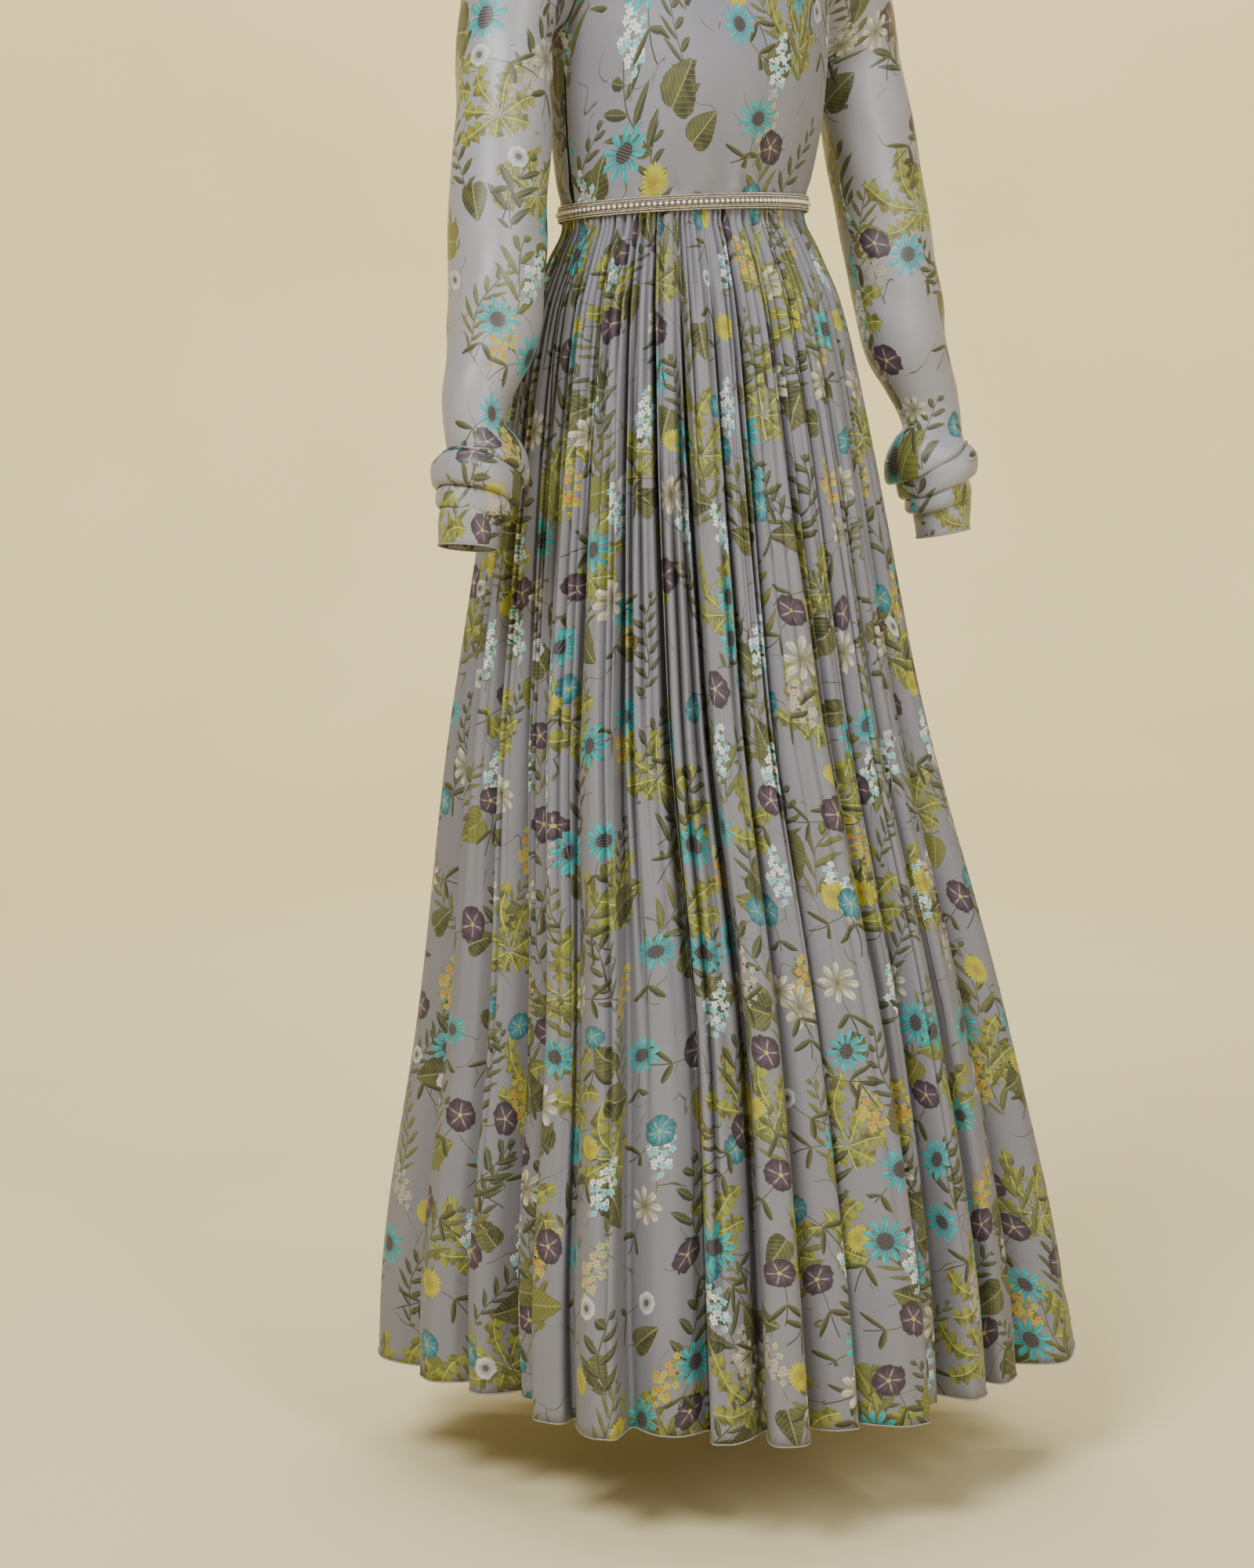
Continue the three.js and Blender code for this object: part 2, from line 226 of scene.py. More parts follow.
# ---- Making meshes ----
def mesh_piece(name, points, faces, corner_uv=None):
    """An object from points in millimetres and faces of equal corner counts."""
    mesh = bpy.data.meshes.new(name)
    mesh.from_pydata((points * MM).tolist(), [], faces.tolist())
    mesh.shade_smooth()
    if corner_uv is not None:
        layer = mesh.uv_layers.new(name="cloth")
        layer.data.foreach_set("uv", (corner_uv * MM).ravel().astype(np.float32))
    mesh.validate()
    piece = bpy.data.objects.new(name, mesh)
    bpy.context.collection.objects.link(piece)
    return piece


def grid(name, points, uv, closed=False, round_rows=False):
    """A sheet from a rows by columns grid of points. Rows run upwards and columns run
    anticlockwise seen from above, so faces point outwards. A closed sheet joins its last column
    to its first, and round rows join the last row to the first. Its uv then has one column or
    row more than its points."""
    rows, columns = points.shape[:2]
    row, column = np.indices((rows - (not round_rows), columns - (not closed))).reshape(2, -1)
    row = np.stack([row, row, row + 1, row + 1], axis=1)
    column = np.stack([column, column + 1, column + 1, column], axis=1)
    faces = row % rows * columns + column % columns
    return mesh_piece(name, points.reshape(-1, 3), faces, uv[row, column])


def tube(name, path, radius, sides=8, closed=False):
    """A round tube of one radius along a path: rings square to the path's direction. The ends
    of an open tube are capped."""
    around = np.roll(path, -1, 0) - np.roll(path, 1, 0)
    ahead = unit(around if closed else np.gradient(path, axis=0))
    side = unit(np.cross(ahead, (0.05, 0.02, 1.0)))
    lift = np.cross(side, ahead)
    turn = np.linspace(0, 2 * math.pi, sides, endpoint=False)[:, None, None]
    points = path + radius * (side * np.cos(turn) + lift * np.sin(turn))
    length = along_rows(path[None], 1)[0]
    length = np.append(length, 2 * length[-1] - length[-2])
    uv = beside(length, np.arange(sides + 1)[:, None] / sides)
    piece = grid(name, points, uv, closed, round_rows=True)
    if closed:
        return piece
    work = bmesh.new()
    work.from_mesh(piece.data)
    bmesh.ops.holes_fill(work, edges=[e for e in work.edges if e.is_boundary], sides=0)
    bmesh.ops.recalc_face_normals(work, faces=work.faces)
    work.to_mesh(piece.data)
    work.free()
    return piece


def beads(name, centres, radius, rings, around):
    """Many equal round beads as one mesh: one ball, moved to each centre."""
    polar = np.linspace(0, math.pi, rings + 1)[1:-1, None]
    turn = np.linspace(0, 2 * math.pi, around, endpoint=False)
    body = beside(np.sin(polar) * np.cos(turn), np.sin(polar) * np.sin(turn), np.cos(polar))
    ball = np.concatenate([[[0, 0, 1]], body.reshape(-1, 3), [[0, 0, -1]]]) * radius
    ring = 1 + np.arange((rings - 1) * around).reshape(-1, around)
    after = np.roll(ring, -1, axis=1)
    triangles = (
        (0, ring[0], after[0]),
        (ring[:-1], ring[1:], after[1:]),
        (ring[:-1], after[1:], after[:-1]),
        (after[-1], ring[-1], ring.size + 1),
    )
    faces = np.concatenate([beside(*corners).reshape(-1, 3) for corners in triangles])
    all_faces = faces + len(ball) * np.arange(len(centres))[:, None, None]
    points = centres[:, None] + ball
    return mesh_piece(name, points.reshape(-1, 3), all_faces.reshape(-1, 3))


def shell(piece, thickness=CLOTH):
    """Gives a sheet its thickness, inwards."""
    piece.modifiers.new("thickness", "SOLIDIFY").thickness = thickness * MM
    return piece


# ---- Bodice ----
def waist_shift(x, y):
    """How far the waist seam stands above its mean height: it rises to the front and left."""
    return WAIST_RISE_LEFT * x / WAIST_HALF - WAIST_RISE_FRONT * y / WAIST_DEPTH


def shoulder_height(x):
    """Height of the shoulder line: a straight slope from the neck to the shoulder tip."""
    slope = (NECK_TOP - SHOULDER_TIP) / (SHOULDER_HALF - NECK_HALF)
    return NECK_TOP - slope * (np.abs(x) - NECK_HALF)


def figure_depth(x, z, facing):
    """Depth of the figure at (x, z): the superellipse 1 - |x/half|^full, rounded over to the
    shoulder line above the chest."""
    half, depth, full = read(FIGURE, z, "half", "front" if facing < 0 else "back", "full")
    across = np.minimum(1, np.abs(x) / half)
    arc = (1 - across**full) ** (1 / full)
    climb = np.clip((z - ROUNDING_START) / (shoulder_height(x) - ROUNDING_START), 0, 1)
    return facing * (SEAM_GAP / 2 + depth * arc * np.sqrt(1 - climb**2))


long_wave = ripple(11, 6, 5, 17)
small_gather = ripple(12, 6, 14, 34)


def bodice_crease(x, y, z):
    """Soft creases of the bodice: small gathers just above the belt that die out upwards, and
    long shallow waves that fade towards the chest."""
    turn = np.arctan2(y, x) / (2 * math.pi) % 1
    above = z - WAIST_HEIGHT - BELT_HEIGHT / 2
    gathers = 1.9 * hump(above / 24) * ease(-5, 5, above)
    waves = 1.7 * hump(above / 95) * ease(-5, 12, above)
    return gathers * small_gather(turn + 0.0004 * above) + waves * long_wave(turn + 0.0002 * above)


def bodice_points(facing, column, z_row):
    """A panel of the bodice. A column counts from the centre line to the armhole and goes up to
    the neckline or the shoulder seam, and a row goes across at a share of that height."""
    column, z_row = np.meshgrid(column, z_row)
    a = np.abs(column)
    drop = FRONT_NECK_DROP if facing < 0 else BACK_NECK_DROP
    turn = math.pi / 2 * np.minimum(a, NECK_STEPS) / NECK_STEPS
    past = np.maximum(a - NECK_STEPS, 0) / SHOULDER_STEPS
    in_neck = a <= NECK_STEPS
    top_x = np.where(in_neck, NECK_HALF * np.sin(turn), lerp(NECK_HALF, SHOULDER_HALF, past))
    top_z = np.where(in_neck, NECK_TOP - drop * np.cos(turn), shoulder_height(top_x))
    rise = (z_row - WAIST_HEIGHT) / (SHOULDER_TIP - WAIST_HEIGHT)
    evenly = np.sin(math.pi / 2 * a / (NECK_STEPS + SHOULDER_STEPS))
    share = lerp(evenly, top_x / SHOULDER_HALF, rise**3)
    x = np.sign(column) * read(PANEL_EDGE, z_row, "half") * share
    ceiling = np.minimum(top_z, shoulder_height(x))
    z = lerp(WAIST_HEIGHT + SEAM_GAP / 2, ceiling, rise)
    y = figure_depth(x, z, facing)
    out = np.hypot(x, y)
    bump = bodice_crease(x, y, z) * ease(6, 26, out)
    x, y = x + bump * x / out.clip(1), y + bump * y / out.clip(1)
    z = z + waist_shift(x, y) * np.maximum(0, 1 - 2 * rise)
    return beside(x, y, z)


def bodice_panel(name, facing, columns, offset):
    """A panel of the bodice as a shell, with the print laid along its own threads."""
    low, high = np.linspace(WAIST_HEIGHT, -300, 16), np.linspace(-296, SHOULDER_TIP, 60)
    rows = np.concatenate([low, high])
    points = bodice_points(facing, columns, rows)
    if facing > 0:
        points = points[:, ::-1]
    middle = np.abs(points[..., 0]).argmin(1)[:, None]
    u = along_rows(points, 1)
    u -= np.take_along_axis(u, middle, 1)
    v = points[:, [np.abs(points[0, :, 0]).argmin()], 2]
    return shell(grid(name, points, beside(u + offset[0], v + offset[1])))


# ---- Sleeves ----
def armhole_points(c):
    """The armhole as a ring: c runs 0..14 from the shoulder tip down the back and up the front."""
    rows = len(PANEL_EDGE["z"]) - 1
    row = np.where(c <= ARM_STEPS / 2, rows - c, UNDERARM_ROW + (c - ARM_STEPS / 2))
    z, half = by_row(PANEL_EDGE, row)
    y = np.where(c <= ARM_STEPS / 2, figure_depth(half, z, 1), figure_depth(half, z, -1))
    y = np.where((row < UNDERARM_ROW + 0.01) | (row > rows - 0.01), 0, y)
    return beside(half + SEAM_GAP, y, z)


sleeve_wave = ripple(21, 5, 1, 3)
sleeve_crease = ripple(22, 6, 2, 6)


def sleeve_swell(z, wave, s):
    """Creases of a sleeve: fine and broad ones in the bags of the wrist, broad ones at the
    elbow, and long slanting ones on the forearm and the upper arm. Each is a ripple round the
    sleeve that turns slowly down it."""
    bag = ease(-525, -556, z) * (1 - ease(-598, -622, z))
    return (
        1.6 * bag * sleeve_crease(wave + 0.02 * s)
        + 1.2 * bag * sleeve_wave(wave + 0.05 * s)
        + 1.1 * hump((z + 430) / 70) * sleeve_wave(wave + z / 180)
        + 0.7 * sleeve_crease(wave + z / 420) * (1 - bag)
        + 1.7 * hump((z + 215) / 75) * sleeve_crease(wave + z / 900)
    )


def sleeve_head(start, end):
    """The head of a sleeve: a cubic Bezier from each point of the armhole to the first ring."""
    reach = np.linalg.norm(start - end, axis=1, keepdims=True)
    leave = start + np.array([0.87, 0, -0.5]) * 0.3 * reach
    arrive = end + np.array([-0.16, 0, 0.98]) * 0.42 * reach
    t = np.linspace(0, 1, 22)[:-1, None, None]
    return (
        (1 - t) ** 3 * start
        + 3 * (1 - t) ** 2 * t * leave
        + 3 * (1 - t) * t**2 * arrive
        + t**3 * end
    )


def sleeve_points(hand, columns):
    """A sleeve as rings down the arm, each square to the arm's centre line."""
    c = ARM_STEPS * (0.5 + np.arange(columns) / columns) % ARM_STEPS
    last = len(SLEEVE["z"]) - 1
    s = np.concatenate([np.linspace(0, 7, 46)[:-1], np.linspace(7, last, 121)])[:, None]
    z, radius, tilt, sag = by_row(SLEEVE, s)
    centre = np.concatenate([*read(ARM, z, "x", "y"), z], axis=1)
    above, below = (np.concatenate(read(ARM, z + step, "x", "y"), axis=1) for step in (12, -12))
    along = unit(np.concatenate([(above - below) / 24, np.ones_like(z)], axis=1))
    outward = unit(np.array([1.0, 0, 0]) - along * along[:, :1])
    backward = np.cross(along, outward)
    turn = 2 * math.pi * c[:, None] / ARM_STEPS
    spoke = outward[:, None] * np.cos(turn) + backward[:, None] * np.sin(turn)
    swell = sleeve_swell(z, c / ARM_STEPS, s)
    r = radius + swell - sag * (spoke[..., :2] @ np.array(OUTER_SIDE))
    body = centre[:, None] + spoke * r[..., None]
    body[..., 2] += tilt * ((body - centre[:, None])[..., :2] @ np.array(OUTER_SIDE))
    points = np.concatenate([sleeve_head(armhole_points(c), body[0]), body])[::-1]
    return points if hand > 0 else points[:, ::-1] * np.array([-1, 1, 1])


def sleeve_piece(name, hand, offset):
    """A sleeve as a closed shell, with the print wrapped round it from the underarm."""
    columns = 96
    points = sleeve_points(hand, columns)
    v = -along_rows(points[::-1], 0)[::-1].mean(1, keepdims=True)
    u = SLEEVE_GIRTH * np.arange(columns + 1) / columns
    uv = beside(u + offset[0], v + offset[1])
    return shell(grid(name, points, uv, closed=True)), points


# ---- Skirt ----
def folds_round():
    """All the folds round the hem: the table, then the same folds in the opposite order."""
    width, crest, valley = (np.array(column, float) for column in FOLDS.values())
    width = np.concatenate([width, width[::-1]])
    crest = np.concatenate([crest, crest[::-1]])
    valley = np.concatenate([valley, np.roll(valley, 1)[::-1]])
    width *= 360 / width.sum()
    start = FOLD_START + np.concatenate([[0], np.cumsum(width)[:-1]])
    return start, width, crest, valley, np.roll(valley, 1)


START, WIDTH, CREST, VALLEY, BEFORE = folds_round()
COUNT = len(START)
# Gathers and creases in each fold
GATHERS, CREASES = 3, 3
gather_depth = chance.uniform(3.0, 6.8, COUNT * GATHERS)
gather_depth[::GATHERS] = chance.uniform(5.5, 9, COUNT)
gather_end = chance.uniform(110, 380, COUNT * GATHERS)
gather_end[::GATHERS] += 160
crease_depth = 2 + 22 * chance.uniform(0, 1, COUNT * CREASES) ** 2
crease_place = chance.uniform(-0.07, 0.07, COUNT * CREASES)
crease_start = chance.uniform(5, 190, COUNT * CREASES)
crease_end = chance.uniform(480, 1250, COUNT * CREASES)
valley_depth = chance.uniform(13, 28, COUNT)
valley_end = chance.uniform(620, 1060, COUNT)
# How creases, valleys and gathers come in and die out, in millimetres of drop
FADE_IN, FADE_OUT = 170, 420
VALLEY_WIDTH = 0.06
fold_lean = ripple(31, 7, 2, 9)
fold_wander = ripple(32, 6, 3, 11)
gather_shift = ripple(33, 9, 6, 26)


def fold_at(q):
    """The number of the fold at a fold count, and how far across it, from 0 to 1."""
    return np.floor(q).astype(int) % COUNT, q - np.floor(q)


def skirt_creases(q, drop):
    """Depth of the sharp creases at fold count q: one narrow crease in each valley and three
    within each fold, every one a bell across that comes in and dies out downwards."""
    k, t = fold_at(q)
    width = lerp(0.075, 0.05, ease(100, 500, drop))
    total = 0
    for n in range(CREASES):
        c = k * CREASES + n
        away = (t - (n + 1) / (CREASES + 1) - crease_place[c]) / width
        begun = ease(crease_start[c], crease_start[c] + FADE_IN, drop)
        ended = ease(crease_end[c] - FADE_OUT, crease_end[c], drop)
        total = total + crease_depth[c] * begun * (1 - ended) * hump(away)
    near = np.round(q).astype(int) % COUNT
    ended = 0.9 * ease(valley_end[near] - FADE_OUT, valley_end[near], drop)
    valley = ease(20, 190, drop) * (1 - ended) * hump((q - np.round(q)) / VALLEY_WIDTH)
    return total + valley_depth[near] * valley


def skirt_gathers(q, drop):
    """Depth of the gathers, three a fold: narrow pleats that start at the belt, deepen and die
    out."""
    g = q * GATHERS + 0.45 * gather_shift(q / COUNT) * (1 - ease(200, 460, drop))
    j = np.round(g).astype(int)
    pinch = np.cos(math.pi * (g - j)) ** 5
    j = j % (COUNT * GATHERS)
    begun = (0.25 + 0.75 * ease(1, 14, drop)) * (1 + 0.7 * ease(20, 120, drop))
    ended = ease(gather_end[j] * 0.35, gather_end[j], drop)
    return gather_depth[j] * begun * (1 - ended) * pinch


def skirt_points(q, drop):
    """The skirt at fold count q (columns) and drop below the waist seam (rows). The outline is
    an ellipse that grows downwards. Its relief is the large folds, which deepen as the drop to
    the power 1.2, less the creases and the gathers. On the wearer's left the hem lifts and
    curls outwards."""
    q, drop = np.meshgrid(q, drop)
    k, t = fold_at(q)
    turn = q / COUNT
    grown = (drop / SKIRT_LENGTH) ** FOLD_GROWTH
    hill = (1 - np.abs(np.cos(math.pi * t)) ** 4.2) ** 0.55
    floor = np.where(t < 0.5, BEFORE[k], VALLEY[k])
    relief = lerp(floor, CREST[k], hill) * grown - skirt_creases(q, drop) - skirt_gathers(q, drop)
    lean = 0.34 * fold_lean(turn) * (1 - hill) * np.minimum(1, 1.6 * grown)
    wander = 0.9 * fold_wander(turn + 0.00006 * drop) * ease(40, 500, drop)
    angle = np.radians(START[k] + WIDTH[k] * (t + lean) + wander)
    curl = hump(((np.degrees(angle) - CURL_AT + 180) % 360 - 180) / CURL_SPREAD)
    relief = relief + CURL_OUT * curl * ease(1000, SKIRT_LENGTH, drop)
    half, depth, forward, leftward = read(SKIRT, drop, "half", "depth", "forward", "leftward")
    x = leftward + (half + relief) * np.cos(angle)
    y = (depth + relief) * np.sin(angle) - forward
    lifted = CURL_LIFT * curl * ease(820, 1070, drop)
    z = WAIST_HEIGHT - drop + waist_shift(x, y) * (1 - grown) + lifted
    return beside(x, y, z)


def skirt_columns(first, folds, each=40):
    """Fold counts of the columns of one width, closer together near the valleys."""
    s = np.arange(folds * each + 1) / each
    return first + s - np.sin(2 * math.pi * (s - np.floor(s))) / (4 * math.pi)


def skirt_width(name, first, folds, offset):
    """One width of the skirt as a shell. The cloth is cut wider at the hem, and its print keeps
    to the flat cut, so it is squeezed where the cloth is gathered."""
    drop = SKIRT_LENGTH * np.linspace(0, 1, 112) ** 1.25
    drop[0] = SEAM_GAP
    points = skirt_points(skirt_columns(first, folds), drop[::-1])
    hem = along_rows(points[:1], 1)[0]
    share = hem / hem[-1] - 0.5
    down = along_rows(points[::-1].mean(1, keepdims=True), 0)[::-1]
    top_cut = 2.9 * along_rows(points[-1:, ::8], 1)[0, -1] / 1.25
    cut = lerp(top_cut, hem[-1], down / down[0])
    piece = shell(grid(name, points, beside(share * cut + offset[0], -down + offset[1])))
    flat = (hem[-1] * MM, down[0, 0] * MM)
    area = (top_cut + hem[-1]) / 2 * down[0, 0] * MM * MM
    return piece, flat, area, points[0]


# ---- Belt ----
def belt_ring(lift, up, count=2881):
    """Points round the waist at a distance `lift` from the cloth and `up` from the seam."""
    gap = BELT_END_GAP / WAIST_HALF
    turn = np.linspace(gap, 2 * math.pi - gap, count) + math.pi / 2
    x = (WAIST_HALF + lift) * np.cos(turn)
    y = (WAIST_DEPTH + lift) * np.sin(turn)
    return beside(x, y, WAIST_HEIGHT + waist_shift(x, y) + up)


def evenly_spaced(path, pitch):
    """Points of a path at equal distances of about `pitch`, half a pitch clear of its ends."""
    run = along_rows(path[None], 1)[0]
    count = int(run[-1] // pitch)
    at = (np.arange(count) + 0.5) * run[-1] / count
    return beside(*(np.interp(at, run, path[:, k]) for k in range(3)))


# ---- Patterns: numbers and colours worked out by nodes ----
def arithmetic(operation, swapped=False):
    """A sum of two numbers as a method of a wire."""
    return lambda self, other: sum_of(operation, *((other, self) if swapped else (self, other)))


class Wire:
    """A number, vector or colour in a pattern. Arithmetic on it adds the nodes that do it."""

    def __init__(self, tree, socket):
        self.tree, self.socket = tree, socket

    __add__ = __radd__ = arithmetic("ADD")
    __mul__ = __rmul__ = arithmetic("MULTIPLY")
    __sub__, __rsub__ = arithmetic("SUBTRACT"), arithmetic("SUBTRACT", swapped=True)
    __truediv__ = arithmetic("DIVIDE")
    __mod__ = arithmetic("FLOORED_MODULO")
    __pow__ = arithmetic("POWER")

    def __abs__(self):
        return sum_of("ABSOLUTE", self)


def set_input(tree, socket, value):
    """Gives a socket a wire or a plain value."""
    if isinstance(value, Wire):
        tree.links.new(value.socket, socket)
    else:
        socket.default_value = (*value, 1) if socket.type == "RGBA" else value


def made(tree, kind, inputs=(), output=0, **settings):
    """What a new node gives, with its settings, and with its inputs fed in order or by name."""
    node = tree.nodes.new("ShaderNode" + kind)
    for key, value in settings.items():
        setattr(node, key, value)
    named = isinstance(inputs, dict)
    sockets = [node.inputs[name] for name in inputs] if named else node.inputs
    for socket, value in zip(sockets, inputs.values() if named else inputs):
        set_input(tree, socket, value)
    return Wire(tree, node.outputs[output])


def outputs(wire, *names):
    """Other outputs of the node that gives a wire, by name."""
    return [Wire(wire.tree, wire.socket.node.outputs[name]) for name in names]


def sum_of(operation, *values):
    """One sum on numbers, as a node."""
    tree = next(v.tree for v in values if isinstance(v, Wire))
    return made(tree, "Math", values, operation=operation)


sine, cosine, larger, smaller = (
    partial(sum_of, name) for name in ("SINE", "COSINE", "MAXIMUM", "MINIMUM")
)


def vector_of(operation, *values):
    """One sum on vectors, as a node."""
    output = "Value" if operation == "LENGTH" else "Vector"
    return made(values[0].tree, "VectorMath", values, output, operation=operation)


def scaled(vector, size):
    """A vector times a number."""
    given = {"Vector": vector, "Scale": size}
    return made(vector.tree, "VectorMath", given, operation="SCALE")


def rise(value, low, high):
    """0 below low and 1 above high, with a soft change between them."""
    given = {"Value": value, "From Min": low, "From Max": high}
    return made(value.tree, "MapRange", given, interpolation_type="SMOOTHSTEP")


def fall(value, low, high):
    """1 below low and 0 above high, with a soft change between them."""
    return 1 - rise(value, low, high)


def parts(vector):
    """The x, y and z of a vector or a colour."""
    return outputs(made(vector.tree, "SeparateXYZ", [vector]), "X", "Y", "Z")


def blend(share, under, over):
    """Mixes two colours."""
    given = {"Factor": share, "A": under, "B": over}
    return made(share.tree, "Mix", given, "Result", data_type="RGBA")


def painted(colour, *coats):
    """A colour with others laid over it in turn, each at its share."""
    for share, over in coats:
        colour = blend(share, colour, over)
    return colour


def tones(at, starts, colours):
    """The colour of the last start that a number has passed."""
    colour_at = made(at.tree, "ValToRGB", [at])
    ramp = colour_at.socket.node.color_ramp
    ramp.interpolation = "CONSTANT"
    while len(ramp.elements) < len(starts):
        ramp.elements.new(1.0)
    for element, start, colour in zip(ramp.elements, starts, colours):
        element.position, element.color = start, (*colour, 1)
    return colour_at


def cloud(place, size, detail=2, space="2D", output=0):
    """Soft noise of about one size, from 0 to 1."""
    given = {"Vector": place, "Scale": 1 / size, "Detail": detail}
    return made(place.tree, "TexNoise", given, output, noise_dimensions=space)


def cells(place, pitch, loose=1, feature="F1"):
    """The distance in random cells, about one in each square of the pitch."""
    given = {"Vector": place, "Scale": 1 / pitch, "Randomness": loose}
    return made(place.tree, "TexVoronoi", given, voronoi_dimensions="2D", feature=feature)


def scattered(place, pitch, shift, loose=0.75):
    """Places strewn about one in each square of the pitch. Gives the vector from the nearest
    place, and a random colour of it."""
    moved = vector_of("ADD", place, (*shift, 0))
    nearest, mark = outputs(cells(moved, pitch, loose), "Position", "Color")
    return vector_of("SUBTRACT", moved, nearest), mark


def drawing(name, numbers, draw):
    """A drawing kept as a group: it takes a place and some numbers, of which Grain and Mottle
    are fine and coarser noise of the cloth, and gives its colour and its cover."""
    tree = bpy.data.node_groups.new(name, "ShaderNodeTree")
    sockets = [("Place", "INPUT", "Vector"), *((number, "INPUT", "Float") for number in numbers),
               ("Colour", "OUTPUT", "Color"), ("Cover", "OUTPUT", "Float")]
    for label, way, kind in sockets:
        tree.interface.new_socket(label, in_out=way, socket_type="NodeSocket" + kind)
    given = tree.nodes.new("NodeGroupInput")
    out = tree.nodes.new("NodeGroupOutput")
    for socket, wire in zip(out.inputs, draw(*[Wire(tree, s) for s in given.outputs[:-1]])):
        set_input(tree, socket, wire)
    return tree


def drawn(group, place, *numbers):
    """Uses a drawing at a place. Numbers past those that it takes are left out."""
    shown = made(place.tree, "Group", (place, *numbers), node_tree=group)
    return outputs(shown, "Colour", "Cover")


# ---- The drawings of the print, in millimetres of flat cloth ----
TURQUOISE = (0.03, 0.37, 0.38)
PLUM = (0.032, 0.016, 0.024)
MAUVE = (0.088, 0.048, 0.068)
ROSY_RAYS = (0.36, 0.30, 0.32)
SLATE_BLUE = (0.018, 0.12, 0.15)
YELLOW = (0.50, 0.46, 0.001)
CREAM = (0.56, 0.52, 0.40)
SEED_WHITE = (0.55, 0.57, 0.57)
DARK_EYE = (0.018, 0.012, 0.016)
PETAL_EDGE = (0.025, 0.03, 0.03)
OLIVE_DARK = (0.026, 0.029, 0.010)
OLIVE = (0.082, 0.083, 0.020)
OLIVE_PALE = (0.20, 0.20, 0.07)
LIME = (0.22, 0.228, 0.024)
LEAF_RIB = (0.30, 0.30, 0.13)
LEAF_EDGE = (0.02, 0.024, 0.01)

# Six flowers. `start` is where each begins among the random kinds. `form` gives its petals/50,
# how deep they part, and its radius/30 mm, and `eye_share` the size of its eye.
BLOOMS = {
    "start": (0, 0.21, 0.46, 0.57, 0.68, 0.86),
    "form": ((10 / 50, 0.80, 21 / 30), (5 / 50, 0.08, 17 / 30), (5 / 50, 0.07, 14 / 30),
             (21 / 50, 0.42, 14 / 30), (8 / 50, 0.80, 20 / 30), (31 / 50, 0.2, 11 / 30)),
    "rim": (TURQUOISE, PLUM, SLATE_BLUE, YELLOW, CREAM, SEED_WHITE),
    "inside": ((0.012, 0.21, 0.23), MAUVE, (0.05, 0.26, 0.28),
               (0.34, 0.29, 0.001), (0.22, 0.20, 0.12), (0.20, 0.21, 0.21)),
    "eye": (DARK_EYE, (0.33, 0.38, 0.04), (0.36, 0.36, 0.06),
            (0.26, 0.20, 0.001), (0.10, 0.10, 0.04), (0.05, 0.05, 0.05)),
    "eye_share": [(share, 0, 0) for share in (0.36, 0.13, 0.12, 0.2, 0.14, 0.27)],
}
# The blossoms of the three kinds of head: where each tone starts, and the tones
COOL = ((0, 0.45, 0.7, 0.92),
        ((0.62, 0.68, 0.68), (0.24, 0.52, 0.54), (0.7, 0.7, 0.66), (0.62, 0.24, 0.17)))
WARM = (0, 0.4, 0.75), ((0.46, 0.25, 0.02), (0.42, 0.36, 0.04), (0.19, 0.21, 0.05))
BLUSH = (0, 0.4, 0.8), ((0.42, 0.31, 0.28), (0.36, 0.36, 0.26), (0.24, 0.2, 0.2))


def draw_bloom(place, grain, mottle, kind):
    """A flower seen a little from the side: petals whose rim is size x (1 - part x (1 - |cos|))
    round the eye, with streaks along the petals, star rays and a speckled eye, on a bent stalk
    with two leaflets."""
    start, *columns = BLOOMS.values()
    form, rim_colour, inside, eye_colour, eye_share = (tones(kind, start, c) for c in columns)
    petals, part, size = parts(form)
    petals, size = petals * 50, size * 30
    x, y, _ = parts(place)
    low = y * (1.16 + 0.2 * sine(kind * 60))
    far = sum_of("SQRT", x * x + low * low)
    angle = sum_of("ARCTAN2", low, x)
    lobe = abs(cosine(angle * petals * 0.5))
    rim = size * (1 - part * (1 - lobe**0.7)) * (0.84 + 0.32 * grain)
    share = far / size
    cover = rise(rim - far, 0, 0.7)
    streak = 0.5 + 0.5 * sine(angle * petals * 2 + share * 5)
    rays = (1 - lobe) ** 5 * (1 - part) * 1.3
    specks = rise(sine(x * 2.4) * sine(y * 2.4), 0.2, 0.6)
    petal = painted(
        blend(rise(share, 0.12, 0.95), inside, rim_colour),
        (rays * fall(share, 0.3, 0.95), ROSY_RAYS),
    )
    colour = painted(
        scaled(petal, 0.8 + 0.45 * streak),
        (fall(rim - far, 0.1, 1.4) * 0.5 + (1 - lobe) * 0.4 * part, PETAL_EDGE),
        (rise(mottle, 0.35, 0.65) * 0.22, (0.04, 0.05, 0.05)),
        (fall(share - parts(eye_share)[0], -0.03, 0.03),
         blend(specks * 0.3, eye_colour, (0.5, 0.46, 0.42))),
    )
    bent = x - 9 * sine(y * 0.045 + kind * 5) + 9 * sine(kind * 5)
    stalk = fall(abs(bent), 0.3, 0.8) * rise(0 - y, 0, 2) * rise(y + 58, 0, 3)
    turn = abs(bent) - 9
    height = y + 34 + turn * 0.7
    leaflet = fall((turn / 9) ** 2 + (height / 3.2) ** 2, 0.8, 1.1)
    green = blend(rise(height, -1.5, 1.5), OLIVE_DARK, OLIVE)
    stalk = larger(stalk, leaflet)
    return blend(cover, green, colour), larger(cover, stalk)


